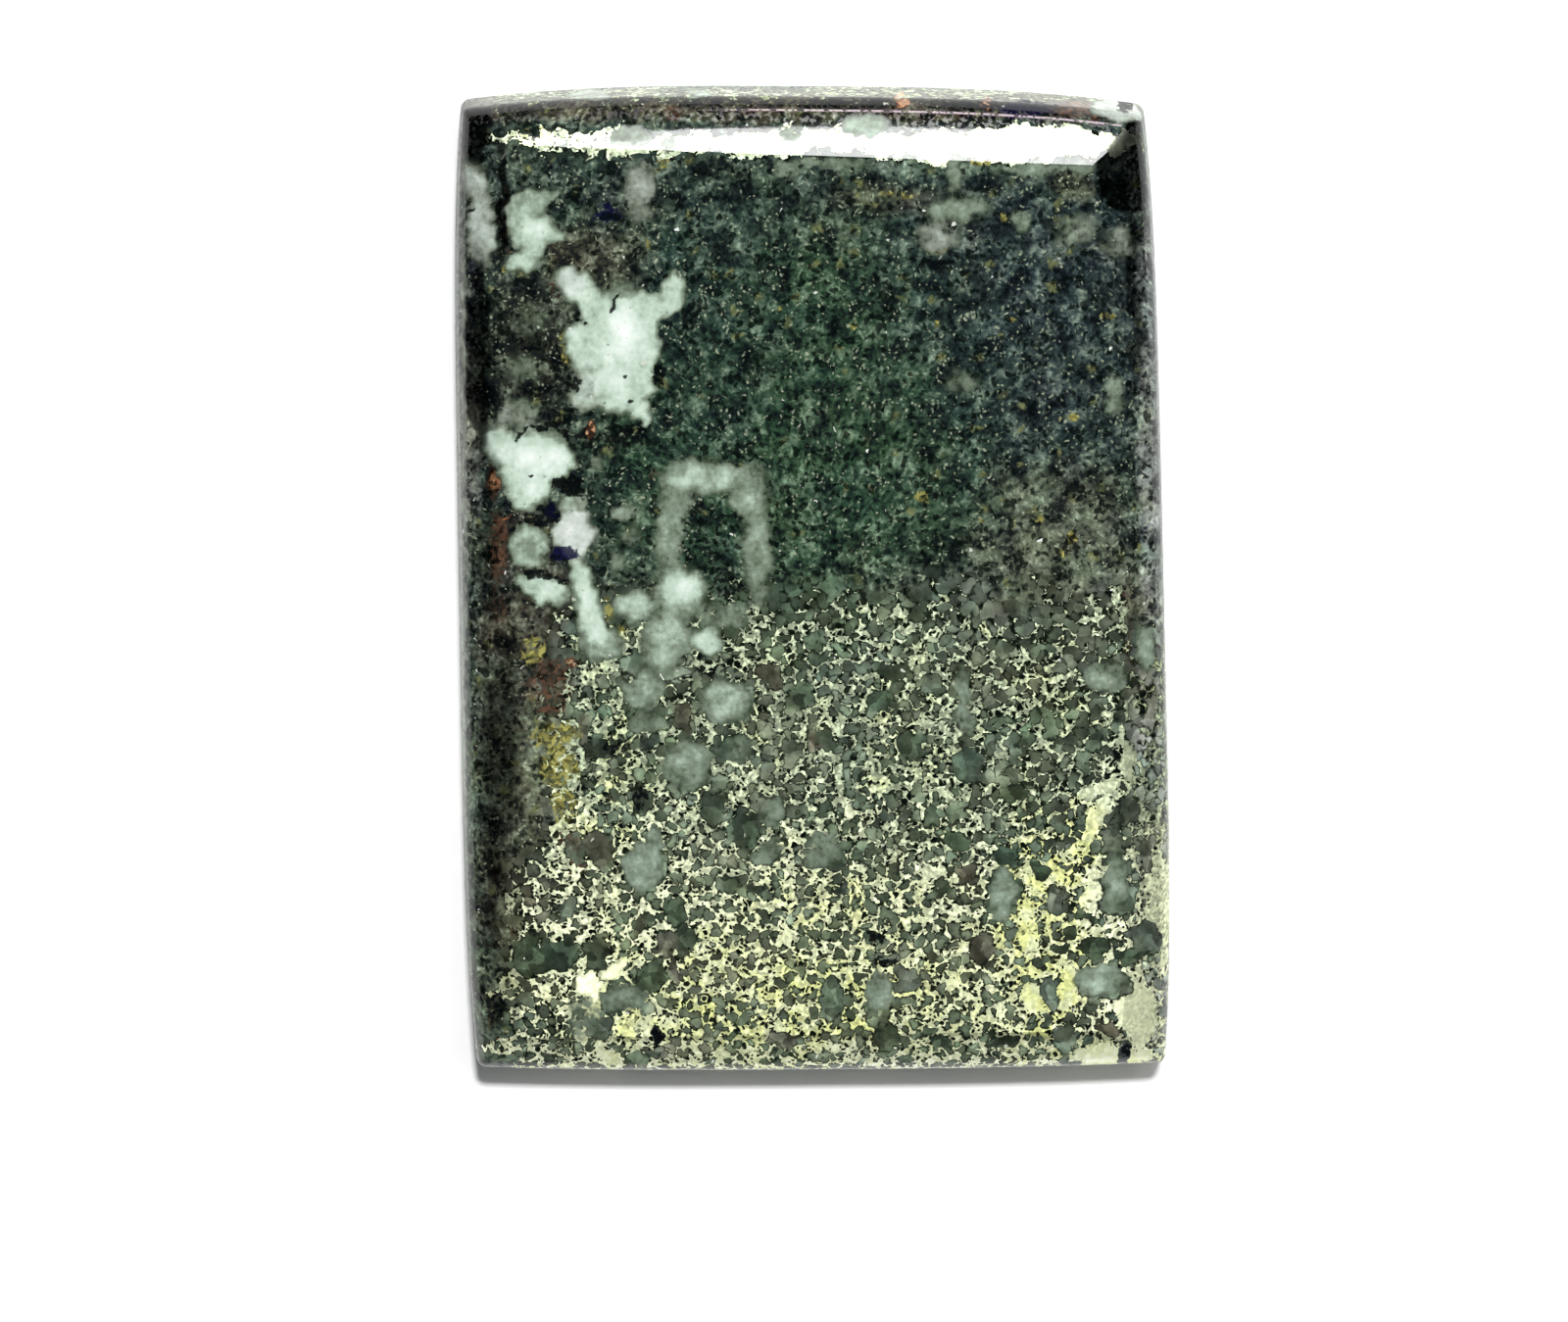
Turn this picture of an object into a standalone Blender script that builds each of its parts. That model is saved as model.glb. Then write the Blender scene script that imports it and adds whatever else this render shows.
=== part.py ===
"""Silver in quartz cabochon: one solid polished stone with bevelled edges.

A nearly rectangular slab with gently bowed sides. Its back is flat with a small
chamfer, its walls lean in a little, and a rounded shoulder leads to a sloping
bevel round a broad, slightly crowned table. The stone lies on its back: +Z is up
out of the table, +Y runs along its length, and the origin is under its centre.
"""
import math

import bmesh
import bpy
from mathutils import Vector

MM = 0.001

# Corners of the girdle, the widest outline, seen from above, in millimetres
GIRDLE = {
    "top_left": (-12.10, 16.48),
    "top_right": (11.20, 16.32),
    "bottom_left": (-11.78, -16.80),
    "bottom_right": (12.22, -16.65),
}
GIRDLE_BOW = {"left": 0.36, "right": 0.33, "top": 0.55, "bottom": 0.20}
CORNER_RADIUS = 0.25

# Corners of the table, the flat polished face, in millimetres
TABLE = {
    "top_left": (-10.72, 15.20),
    "top_right": (9.36, 14.50),
    "bottom_left": (-10.20, -15.45),
    "bottom_right": (10.50, -15.20),
}
TABLE_BOW = {"left": -0.30, "right": 0.40, "top": 0.0, "bottom": 0.0}
SIDE_BOW_POWER = 5
END_BOW_POWER = 3

# Cross-section from the back up, in millimetres at a side of nominal width
NOMINAL_WIDTH = 1.90
CHAMFER_WIDTH = 0.25
GIRDLE_HEIGHT = 0.30
WALL_TOP_HEIGHT = 2.75
WALL_LEAN = math.radians(4)
SHOULDER_RADIUS = 1.00
BEVEL_OUTER_SLOPE = math.radians(26)
BEVEL_INNER_SLOPE = math.radians(16)
TABLE_CROWN = 0.20

SHOULDER_STEPS = 4
BEVEL_STEPS = 2
TABLE_COLUMNS = 18
TABLE_ROWS = 24
SHARP_ANGLE = math.radians(14)

STONE_COLOUR = (0.075, 0.095, 0.065, 1.0)
STONE_METALLIC = 0.25
STONE_ROUGHNESS = 0.12


def clear_scene():
    for item in list(bpy.data.objects):
        bpy.data.objects.remove(item, do_unlink=True)


def section_profile():
    """Stations of the cross-section as (width from the girdle, height), back edge first."""
    wall_rise = WALL_TOP_HEIGHT - GIRDLE_HEIGHT
    width = wall_rise * math.tan(WALL_LEAN)
    height = WALL_TOP_HEIGHT
    stations = [(CHAMFER_WIDTH, 0.0), (0.0, GIRDLE_HEIGHT), (width, height)]

    wall_slope = math.pi / 2 - WALL_LEAN
    turn = (wall_slope - BEVEL_OUTER_SLOPE) / SHOULDER_STEPS
    chord = 2 * SHOULDER_RADIUS * math.sin(turn / 2)
    for step in range(SHOULDER_STEPS):
        slope = wall_slope - (step + 0.5) * turn
        width += chord * math.cos(slope)
        height += chord * math.sin(slope)
        stations.append((width, height))

    bevel_run = (NOMINAL_WIDTH - width) / BEVEL_STEPS
    for step in range(BEVEL_STEPS):
        share = (step + 0.5) / BEVEL_STEPS
        slope = BEVEL_OUTER_SLOPE + share * (BEVEL_INNER_SLOPE - BEVEL_OUTER_SLOPE)
        width += bevel_run
        height += bevel_run * math.tan(slope)
        stations.append((width, height))
    return stations


def on_quad(corners, bow, u, v):
    """Point of a bowed four-sided outline; u and v run from -1 to 1 across and along it."""
    across = (u + 1) / 2
    along = (v + 1) / 2
    side_bow = 1 - abs(v) ** SIDE_BOW_POWER
    end_bow = 1 - abs(u) ** END_BOW_POWER
    left_x = corners["bottom_left"][0] * (1 - along) + corners["top_left"][0] * along
    right_x = corners["bottom_right"][0] * (1 - along) + corners["top_right"][0] * along
    low_y = corners["bottom_left"][1] * (1 - across) + corners["bottom_right"][1] * across
    high_y = corners["top_left"][1] * (1 - across) + corners["top_right"][1] * across
    left_x -= bow["left"] * side_bow
    right_x += bow["right"] * side_bow
    low_y -= bow["bottom"] * end_bow
    high_y += bow["top"] * end_bow
    x = left_x * (1 - across) + right_x * across
    y = low_y * (1 - along) + high_y * along
    return x, y


def stone_point(column, row, columns, rows, stations):
    """Place of one grid point: rings of the grid are stations, the rest is the table."""
    last = len(stations) - 1
    ring = min(column, row, columns - column, rows - row, last)
    u = 2 * (column - ring) / (columns - 2 * ring) - 1
    v = 2 * (row - ring) / (rows - 2 * ring) - 1
    width, height = stations[ring]
    share = width / NOMINAL_WIDTH
    outer = on_quad(GIRDLE, GIRDLE_BOW, u, v)
    inner = on_quad(TABLE, TABLE_BOW, u, v)
    x = outer[0] * (1 - share) + inner[0] * share
    y = outer[1] * (1 - share) + inner[1] * share
    if abs(u) == 1 and abs(v) == 1:
        corner_cut = CORNER_RADIUS * (1 - math.sqrt(0.5)) * (1 - share)
        x -= u * corner_cut
        y -= v * corner_cut
    if ring == last:
        height += TABLE_CROWN * (1 - u * u) * (1 - v * v)
    return Vector((x, y, height)) * MM


def stone_material():
    material = bpy.data.materials.new("silver_quartz")
    material.use_nodes = True
    shader = material.node_tree.nodes["Principled BSDF"]
    shader.inputs["Base Color"].default_value = STONE_COLOUR
    shader.inputs["Metallic"].default_value = STONE_METALLIC
    shader.inputs["Roughness"].default_value = STONE_ROUGHNESS
    return material


def add_cabochon(collection):
    """The stone: a grid folded over the table, bevel, shoulder and wall, closed by its back."""
    stations = section_profile()
    rings = len(stations) - 1
    columns = TABLE_COLUMNS + 2 * rings
    rows = TABLE_ROWS + 2 * rings

    stone = bmesh.new()
    bmesh.ops.create_grid(stone, x_segments=columns, y_segments=rows, size=1)
    for vert in stone.verts:
        column = round((vert.co.x + 1) / 2 * columns)
        row = round((vert.co.y + 1) / 2 * rows)
        vert.co = stone_point(column, row, columns, rows, stations)
    back_edges = [edge for edge in stone.edges if edge.is_boundary]
    bmesh.ops.edgeloop_fill(stone, edges=back_edges)
    bmesh.ops.recalc_face_normals(stone, faces=stone.faces)

    mesh = bpy.data.meshes.new("cabochon")
    stone.to_mesh(mesh)
    stone.free()
    mesh.shade_smooth()
    mesh.set_sharp_from_angle(angle=SHARP_ANGLE)
    mesh.materials.append(stone_material())
    cabochon = bpy.data.objects.new("cabochon", mesh)
    collection.objects.link(cabochon)
    return cabochon


clear_scene()
stone_collection = bpy.data.collections.new("silver_in_quartz_cabochon")
bpy.context.scene.collection.children.link(stone_collection)
add_cabochon(stone_collection)
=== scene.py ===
"""A silver in quartz cabochon on a white table, as polished and as seen from just off overhead."""
import math

import bmesh
import bpy
import numpy as np
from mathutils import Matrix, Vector, noise


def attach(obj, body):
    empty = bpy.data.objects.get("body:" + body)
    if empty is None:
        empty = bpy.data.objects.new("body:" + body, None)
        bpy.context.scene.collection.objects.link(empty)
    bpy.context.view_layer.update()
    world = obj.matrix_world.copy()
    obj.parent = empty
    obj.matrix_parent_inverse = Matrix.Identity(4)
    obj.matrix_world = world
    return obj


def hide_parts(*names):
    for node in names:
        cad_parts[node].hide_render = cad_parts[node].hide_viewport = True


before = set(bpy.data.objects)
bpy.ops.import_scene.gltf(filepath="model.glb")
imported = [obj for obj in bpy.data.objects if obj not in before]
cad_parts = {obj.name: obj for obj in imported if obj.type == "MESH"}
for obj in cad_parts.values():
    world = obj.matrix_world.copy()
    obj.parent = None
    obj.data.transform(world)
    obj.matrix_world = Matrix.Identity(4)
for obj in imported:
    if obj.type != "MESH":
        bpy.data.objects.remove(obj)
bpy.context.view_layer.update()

# The camera
# A long lens nearly overhead, leaning a little towards the stone's top end, so that
# the wall at that end just shows above the table edge and the one at the foot is hidden.
MM = 0.001
PHOTO_WIDTH = 1600
PHOTO_HEIGHT = 1349
CAMERA_LEAN = math.radians(8)
CAMERA_DISTANCE = 240 * MM
PIXEL_SIZE = 0.03366 * MM
SENSOR_WIDTH = 36.0
AIM = Vector((-1.075, -2.667, 2.0)) * MM

camera_back = Vector((0, math.sin(CAMERA_LEAN), math.cos(CAMERA_LEAN)))
camera_up = Vector((0, math.cos(CAMERA_LEAN), -math.sin(CAMERA_LEAN)))
focal_pixels = CAMERA_DISTANCE / PIXEL_SIZE

camera_data = bpy.data.cameras.new("overhead_camera")
camera_data.sensor_width = SENSOR_WIDTH
camera_data.lens = focal_pixels / PHOTO_WIDTH * SENSOR_WIDTH
camera_data.clip_start = 10 * MM
camera = bpy.data.objects.new("overhead_camera", camera_data)
camera.location = AIM + camera_back * CAMERA_DISTANCE
camera.rotation_euler = (-CAMERA_LEAN, 0, 0)
bpy.context.scene.collection.objects.link(camera)
bpy.context.scene.camera = camera
bpy.context.scene.view_settings.view_transform = "Standard"


def photo_place(points):
    """Where points of the stone fall in the photograph, in its pixels."""
    offset = points - np.array(AIM)
    depth = CAMERA_DISTANCE - offset @ np.array(camera_back)
    across = PHOTO_WIDTH / 2 + focal_pixels * offset[:, 0] / depth
    down = PHOTO_HEIGHT / 2 - focal_pixels * (offset @ np.array(camera_up)) / depth
    return across, down


# The stone's shape
# One slab of rock, sawn, ground and polished by hand. The back is flat, the walls lean in,
# and a rounded shoulder leads to a bevel that meets itself in mitres round the table.
GIRDLE = {
    "top_left": (-12.10, 16.48),
    "top_right": (11.20, 16.32),
    "bottom_left": (-11.78, -16.80),
    "bottom_right": (12.22, -16.65),
}
GIRDLE_BOW = {"left": 0.36, "right": 0.33, "top": 0.55, "bottom": 0.20}
TABLE = {
    "top_left": (-10.72, 15.20),
    "top_right": (9.36, 14.50),
    "bottom_left": (-10.20, -15.45),
    "bottom_right": (10.50, -15.20),
}
TABLE_BOW = {"left": -0.30, "right": 0.40, "top": 0.0, "bottom": 0.0}
SIDE_BOW_POWER = 5
END_BOW_POWER = 3
CORNER_RADIUS = 0.25
NOMINAL_WIDTH = 1.90
CHAMFER_WIDTH = 0.25
GIRDLE_HEIGHT = 0.30
WALL_TOP_HEIGHT = 2.75
WALL_LEAN = math.radians(4)
SHOULDER_RADIUS = 1.00
BEVEL_OUTER_SLOPE = math.radians(26)
BEVEL_INNER_SLOPE = math.radians(16)
TABLE_CROWN = 0.20
WALL_STEPS = 6
SHOULDER_STEPS = 8
BEVEL_STEPS = 8
TABLE_COLUMNS = 200
TABLE_ROWS = 292
BACK_COLUMNS = 60
BACK_ROWS = 84
SHARP_ANGLE = math.radians(11)
BACK_SKIN_PLACE = (60, 0, 0)


def section_profile():
    """Stations of the cross-section as (width from the girdle, height), back edge first."""
    wall_rise = WALL_TOP_HEIGHT - GIRDLE_HEIGHT
    stations = [(CHAMFER_WIDTH, 0.0), (CHAMFER_WIDTH / 2, GIRDLE_HEIGHT / 2)]
    for step in range(WALL_STEPS + 1):
        rise = wall_rise * step / WALL_STEPS
        stations.append((rise * math.tan(WALL_LEAN), GIRDLE_HEIGHT + rise))
    width, height = stations[-1]
    wall_slope = math.pi / 2 - WALL_LEAN
    turn = (wall_slope - BEVEL_OUTER_SLOPE) / SHOULDER_STEPS
    chord = 2 * SHOULDER_RADIUS * math.sin(turn / 2)
    for step in range(SHOULDER_STEPS):
        slope = wall_slope - (step + 0.5) * turn
        width += chord * math.cos(slope)
        height += chord * math.sin(slope)
        stations.append((width, height))
    bevel_run = (NOMINAL_WIDTH - width) / BEVEL_STEPS
    for step in range(BEVEL_STEPS):
        share = (step + 0.5) / BEVEL_STEPS
        slope = BEVEL_OUTER_SLOPE + share * (BEVEL_INNER_SLOPE - BEVEL_OUTER_SLOPE)
        width += bevel_run
        height += bevel_run * math.tan(slope)
        stations.append((width, height))
    return stations


def on_quad(corners, bow, u, v):
    """Point of a bowed four-sided outline; u and v run from -1 to 1 across and along it."""
    across = (u + 1) / 2
    along = (v + 1) / 2
    side_bow = 1 - abs(v) ** SIDE_BOW_POWER
    end_bow = 1 - abs(u) ** END_BOW_POWER
    left_x = corners["bottom_left"][0] * (1 - along) + corners["top_left"][0] * along
    right_x = corners["bottom_right"][0] * (1 - along) + corners["top_right"][0] * along
    low_y = corners["bottom_left"][1] * (1 - across) + corners["bottom_right"][1] * across
    high_y = corners["top_left"][1] * (1 - across) + corners["top_right"][1] * across
    left_x -= bow["left"] * side_bow
    right_x += bow["right"] * side_bow
    low_y -= bow["bottom"] * end_bow
    high_y += bow["top"] * end_bow
    x = left_x * (1 - across) + right_x * across
    y = low_y * (1 - along) + high_y * along
    return x, y


def corner_shift(from_corner, radius):
    """How far a point of a side moves along it and inwards, to round off its corner."""
    if from_corner >= radius:
        return 0.0, 0.0
    angle = (1 - from_corner / radius) * math.pi / 4
    along = radius - radius * math.sin(angle) - from_corner
    inwards = radius - radius * math.cos(angle)
    return along, inwards


def skin_length(stations, ring):
    """Length of the surface from the table's edge out to a station."""
    return sum(math.dist(stations[step], stations[step + 1]) for step in range(ring, len(stations) - 1))


def stone_point(column, row, columns, rows, stations):
    """Place of one grid point, rings of the grid being stations, and its place on the skin.

    The skin is the surface from the table out laid flat, in millimetres.
    """
    last = len(stations) - 1
    ring = min(column, row, columns - column, rows - row, last)
    u = 2 * (column - ring) / (columns - 2 * ring) - 1
    v = 2 * (row - ring) / (rows - 2 * ring) - 1
    width, height = stations[ring]
    share = width / NOMINAL_WIDTH
    outer = on_quad(GIRDLE, GIRDLE_BOW, u, v)
    inner = on_quad(TABLE, TABLE_BOW, u, v)
    x = outer[0] * (1 - share) + inner[0] * share
    y = outer[1] * (1 - share) + inner[1] * share
    arc = skin_length(stations, ring) / NOMINAL_WIDTH
    skin = Vector((inner[0] + (outer[0] - inner[0]) * arc, inner[1] + (outer[1] - inner[1]) * arc, 0))
    if ring == last:
        height += TABLE_CROWN * (1 - u * u) * (1 - v * v)
        return Vector((x, y, height)) * MM, skin
    radius = CORNER_RADIUS * (1 - share)
    half_width = GIRDLE["top_right"][0]
    half_length = GIRDLE["top_right"][1]
    if abs(v) == 1:
        along, inwards = corner_shift((1 - abs(u)) * half_width, radius)
        x -= math.copysign(along, u)
        y -= v * inwards
    elif abs(u) == 1:
        along, inwards = corner_shift((1 - abs(v)) * half_length, radius)
        y -= math.copysign(along, v)
        x -= u * inwards
    return Vector((x, y, height)) * MM, skin


def add_back(stone):
    """A net of faces over the flat back, joined to the chamfer's lower edge."""
    rim = [edge for edge in stone.edges if edge.is_boundary]
    made = bmesh.ops.create_grid(stone, x_segments=BACK_COLUMNS, y_segments=BACK_ROWS, size=1)
    for vert in made["verts"]:
        x, y = on_quad(TABLE, TABLE_BOW, vert.co.x, vert.co.y)
        vert.co = Vector((x, y, 0)) * MM
    back_edges = {edge for vert in made["verts"] for edge in vert.link_edges}
    inner_rim = [edge for edge in back_edges if edge.is_boundary]
    bmesh.ops.triangle_fill(stone, use_beauty=True, edges=rim + inner_rim)


def read_vectors(attribute, name, count):
    values = np.empty(count * 3)
    attribute.foreach_get(name, values)
    return values.reshape(count, 3)


def lay_skin(mesh):
    """Gives each corner of a face its place on the skin, and those of the back one of their own."""
    points = read_vectors(mesh.vertices, "co", len(mesh.vertices))
    skin = read_vectors(mesh.attributes["skin"].data, "vector", len(mesh.vertices))
    corner_points = np.empty(len(mesh.loops), int)
    mesh.loops.foreach_get("vertex_index", corner_points)
    corner_skin = skin[corner_points]
    on_back = np.repeat([face.normal.z < -0.99 for face in mesh.polygons],
                        [face.loop_total for face in mesh.polygons])
    corner_skin[on_back] = points[corner_points[on_back]] / MM + BACK_SKIN_PLACE
    layer = mesh.attributes.new("skin_place", "FLOAT_VECTOR", "CORNER")
    layer.data.foreach_set("vector", corner_skin.ravel())
    mesh.attributes.remove(mesh.attributes["skin"])


def make_stone_mesh():
    stations = section_profile()
    rings = len(stations) - 1
    columns = TABLE_COLUMNS + 2 * rings
    rows = TABLE_ROWS + 2 * rings
    stone = bmesh.new()
    skin_layer = stone.verts.layers.float_vector.new("skin")
    bmesh.ops.create_grid(stone, x_segments=columns, y_segments=rows, size=1)
    for vert in stone.verts:
        column = round((vert.co.x + 1) / 2 * columns)
        row = round((vert.co.y + 1) / 2 * rows)
        vert.co, vert[skin_layer] = stone_point(column, row, columns, rows, stations)
    add_back(stone)
    bmesh.ops.recalc_face_normals(stone, faces=stone.faces)
    mesh = bpy.data.meshes.new("cabochon_polished")
    stone.to_mesh(mesh)
    stone.free()
    lay_skin(mesh)
    mesh.shade_smooth()
    mesh.set_sharp_from_angle(angle=SHARP_ANGLE)
    return mesh


stone_mesh = make_stone_mesh()

# The pattern of the rock
# Cloudy white quartz lies in dark green rock, silver fills the gaps between the grains of
# its lower half, and rust follows the left edge. Every mark is given in the photograph's
# pixels: x, y, half width, half height, turn in degrees, softness, strength.
WHITE_QUARTZ = {
    "star_heart": (636, 338, 25, 36, 0, 1.8, 1.08),
    "star_body_glow": (627, 388, 20, 30, 8, 1.6, 0.72),
    "star_arm_glow": (592, 291, 12, 14, 35, 1.6, 0.55),
    "star_left_lobe": (592, 352, 16, 20, 0, 1.4, 0.5),
    "star_grey_skirt": (598, 397, 17, 25, 0, 1.0, 0.66),
    "cloud_heart": (545, 232, 19, 17, 0, 1.8, 0.95),
    "cloud_bump": (564, 239, 13, 9, 0, 1.4, 0.65),
    "cloud_foot": (535, 267, 16, 10, -10, 1.2, 0.62),
    "wall_cloud_high": (481, 184, 13, 19, 0, 1.0, 0.70),
    "wall_cloud_low": (491, 232, 14, 40, 0, 1.0, 0.74),
    "top_wall_left": (603, 98, 21, 7, 0, 0.5, 0.55),
    "top_wall_mint": (712, 95, 13, 5, 0, 0.5, 0.55),
    "band_left": (643, 140, 22, 11, 0, 0.4, 0.62),
    "band_left_low": (682, 146, 8, 7, 0, 0.4, 0.5),
    "band_middle": (806, 138, 11, 8, 0, 0.4, 0.55),
    "band_mint": (882, 129, 23, 13, 0, 0.5, 0.62),
    "left_lump_cap": (527, 421, 20, 15, 0, 1.4, 0.52),
    "left_lump_edge": (500, 446, 12, 18, 0, 1.4, 0.6),
    "left_lump_heart": (546, 467, 32, 26, 0, 1.8, 1.05),
    "left_lump_foot": (540, 503, 12, 14, 0, 1.4, 0.7),
    "lump_grey": (586, 513, 16, 9, 8, 0.8, 0.6),
    "lump_bright": (586, 544, 22, 24, 0, 0.5, 0.88),
    "lump_bright_heart": (582, 541, 13, 14, 0, 1.8, 0.75),
    "lump_left": (539, 557, 19, 22, 0, 0.7, 0.66),
    "lump_low": (554, 601, 28, 13, -18, 0.8, 0.82),
    "stream_glow": (597, 612, 11, 36, 8, 1.8, 0.85),
    "stream_pool": (615, 657, 24, 18, 0, 0.9, 0.62),
    "beside_stream": (646, 619, 19, 15, 0, 1.2, 0.76),
    "beside_lump_far": (636, 524, 13, 9, 0, 1.2, 0.5),
    "left_rim": (472, 640, 4, 460, 0, 1.0, 0.5),
    "left_rim_high": (474, 330, 4, 70, 0, 1.0, 0.42),
    "left_mid_high": (543, 328, 20, 17, 0, 1.4, 0.3),
    "left_mid_low": (533, 376, 22, 18, 0, 1.4, 0.34),
    "ring_top": (720, 487, 44, 19, 0, 1.1, 0.66),
    "ring_top_glow": (708, 488, 22, 13, 0, 1.4, 0.45),
    "ring_top_right": (768, 500, 18, 26, 0, 1.4, 0.5),
    "ring_left": (683, 547, 14, 47, 0, 1.4, 0.57),
    "ring_shoulder_left": (694, 507, 15, 17, 0, 1.4, 0.5),
    "ring_shoulder_right": (756, 510, 14, 16, 0, 1.4, 0.46),
    "ring_right": (773, 562, 16, 56, 2, 1.3, 0.54),
    "ring_foot": (694, 604, 27, 23, 0, 1.0, 0.8),
    "ring_foot_bright": (698, 599, 18, 16, 0, 1.6, 0.9),
    "ring_stream": (680, 652, 26, 34, -20, 1.2, 0.66),
    "ring_bottom": (738, 628, 30, 16, 0, 1.2, 0.42),
    "small_bright": (723, 655, 16, 12, 0, 1.0, 0.92),
    "between_high": (635, 525, 11, 8, 0, 0.8, 0.45),
    "between_middle": (643, 548, 14, 11, 0, 1.0, 0.35),
    "between_low": (630, 576, 10, 13, 0, 1.0, 0.35),
    "beside_lump": (609, 472, 8, 9, 0, 0.9, 0.4),
    "pale_high": (653, 196, 16, 31, 0, 0.9, 0.5),
    "under_band_left": (850, 166, 40, 6, 0, 0.8, 0.42),
    "under_band_right": (1070, 172, 58, 7, 3, 0.8, 0.42),
    "pale_dot": (598, 215, 9, 10, 0, 1.0, 0.33),
    "streak": (974, 177, 9, 26, 0, 0.9, 0.5),
    "haze_high": (976, 215, 35, 14, 5, 1.2, 0.5),
    "haze_tan": (955, 243, 22, 16, -10, 1.2, 0.48),
    "haze_middle": (1041, 226, 14, 12, 0, 1.2, 0.38),
    "haze_right": (1097, 236, 26, 20, 0, 1.2, 0.36),
    "lavender": (1141, 248, 20, 18, 0, 0.9, 0.36),
    "mint_edge": (803, 174, 13, 10, 0, 0.8, 0.42),
    "grey_left": (981, 388, 18, 12, 0, 1.2, 0.42),
    "grey_right": (1137, 400, 11, 24, 0, 0.9, 0.44),
    "haze_navy": (1073, 497, 12, 14, 0, 1.0, 0.3),
    "corner_grey": (1140, 113, 27, 11, -10, 0.3, 0.72),
    "wall_lavender": (1169, 662, 10, 26, 0, 0.8, 0.5),
    "low_mint": (1129, 691, 24, 15, 0, 0.6, 0.5),
    "low_curve_high": (982, 700, 8, 24, 0, 0.9, 0.42),
    "low_curve_foot": (986, 736, 12, 18, 25, 0.9, 0.42),
    "pebble_a": (657, 706, 22, 20, 0, 0.6, 0.52),
    "pebble_b": (741, 717, 28, 22, -15, 0.8, 0.6),
    "pebble_c": (660, 737, 22, 11, 8, 0.3, 0.38),
    "pebble_d": (700, 780, 26, 25, 0, 0.9, 0.56),
    "pebble_e": (750, 766, 19, 15, 0, 0.4, 0.32),
    "pebble_f": (787, 828, 16, 17, 0, 0.7, 0.42),
    "pebble_g": (655, 884, 20, 27, 5, 0.7, 0.56),
    "pebble_g_top": (667, 858, 8, 20, 0, 0.8, 0.5),
    "pebble_h": (782, 868, 17, 13, 20, 0.5, 0.38),
    "pebble_i": (838, 868, 24, 22, 0, 0.8, 0.4),
    "pebble_j": (1024, 912, 14, 28, 0, 0.8, 0.56),
    "pebble_k": (1138, 898, 14, 28, 0, 0.9, 0.5),
    "pebble_l": (1122, 1000, 28, 16, 0, 0.6, 0.6),
    "pebble_m": (896, 1012, 15, 20, 0, 0.8, 0.55),
    "pebble_n": (596, 1040, 22, 26, 0, 0.8, 0.36),
    "pebble_o": (637, 1018, 28, 17, 0, 0.4, 0.34),
}
# The quartz with a clear outline: strength, softness in pixels, then its corners
QUARTZ_OUTLINES = {
    "star": (0.86, 11, (
        (567, 278), (573, 272), (584, 273), (597, 280), (610, 292), (619, 303), (625, 312),
        (631, 304), (642, 298), (661, 299), (673, 297), (678, 285), (689, 279), (698, 286),
        (700, 303), (695, 315), (682, 322), (671, 331), (673, 346), (677, 362), (667, 374),
        (665, 386), (667, 399), (661, 409), (664, 427), (659, 437), (650, 429), (640, 421),
        (622, 417), (610, 411), (604, 397), (605, 381), (588, 373), (577, 358), (575, 343),
        (579, 334), (597, 329), (589, 314), (579, 302), (569, 288))),
    "cloud": (0.68, 13, (
        (521, 201), (534, 196), (549, 193), (571, 196), (562, 208), (551, 218), (560, 228),
        (577, 237), (575, 247), (561, 251), (556, 262), (539, 276), (521, 278), (513, 268),
        (523, 258), (534, 253), (522, 249), (517, 235), (515, 218), (515, 207))),
    "left_lump": (0.88, 11, (
        (492, 443), (501, 434), (513, 432), (520, 441), (524, 453), (538, 443), (559, 444),
        (576, 453), (586, 465), (590, 477), (579, 484), (566, 487), (561, 499), (553, 513),
        (539, 522), (524, 520), (520, 506), (513, 496), (507, 479), (497, 468), (491, 455))),
    "stream": (0.84, 10, (
        (582, 566), (592, 572), (603, 582), (607, 600), (611, 618), (616, 633), (624, 646),
        (614, 660), (598, 655), (591, 633), (586, 606), (582, 586))),
}
# Quartz that leans to pink and lavender instead of mint
PINK_QUARTZ = {
    "wall": (485, 220, 22, 60, 0, 0.8, 0.9),
    "left_rim": (472, 600, 8, 520, 0, 0.8, 1.0),
    "star_arm": (584, 284, 16, 15, 0, 1.2, 0.8),
    "lump_bright": (586, 544, 26, 28, 0, 0.8, 0.9),
    "skirt": (594, 398, 18, 26, 0, 1.0, 0.5),
    "cap": (520, 424, 22, 16, 0, 1.0, 0.6),
    "haze_tan": (953, 243, 26, 18, 0, 1.0, 0.9),
    "lavender": (1141, 248, 26, 24, 0, 1.0, 0.8),
    "haze_right": (1110, 236, 14, 16, 0, 1.0, 0.5),
    "corner": (1143, 115, 30, 16, 0, 1.0, 1.0),
    "pale_high": (653, 196, 22, 38, 0, 0.8, 0.9),
    "top_wall_left": (603, 98, 26, 10, 0, 0.8, 0.8),
}
NAVY_ROCK = {
    "lump_blob": (574, 566, 15, 13, 0, 0.5, 1.0),
    "lump_curve": (566, 520, 10, 8, 0, 1.0, 0.4),
    "cloud": (618, 221, 22, 11, 0, 0.8, 0.75),
    # Navy colour of the painted dark reflection on the top shoulder
    "top_band": (1045, 112, 34, 9, 0, 0.8, 0.6),
    # Navy colour of the painted shade and dark reflection on the right bevel
    "right_bevel": (1142, 172, 26, 50, -6, 0.6, 0.3),
}
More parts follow.
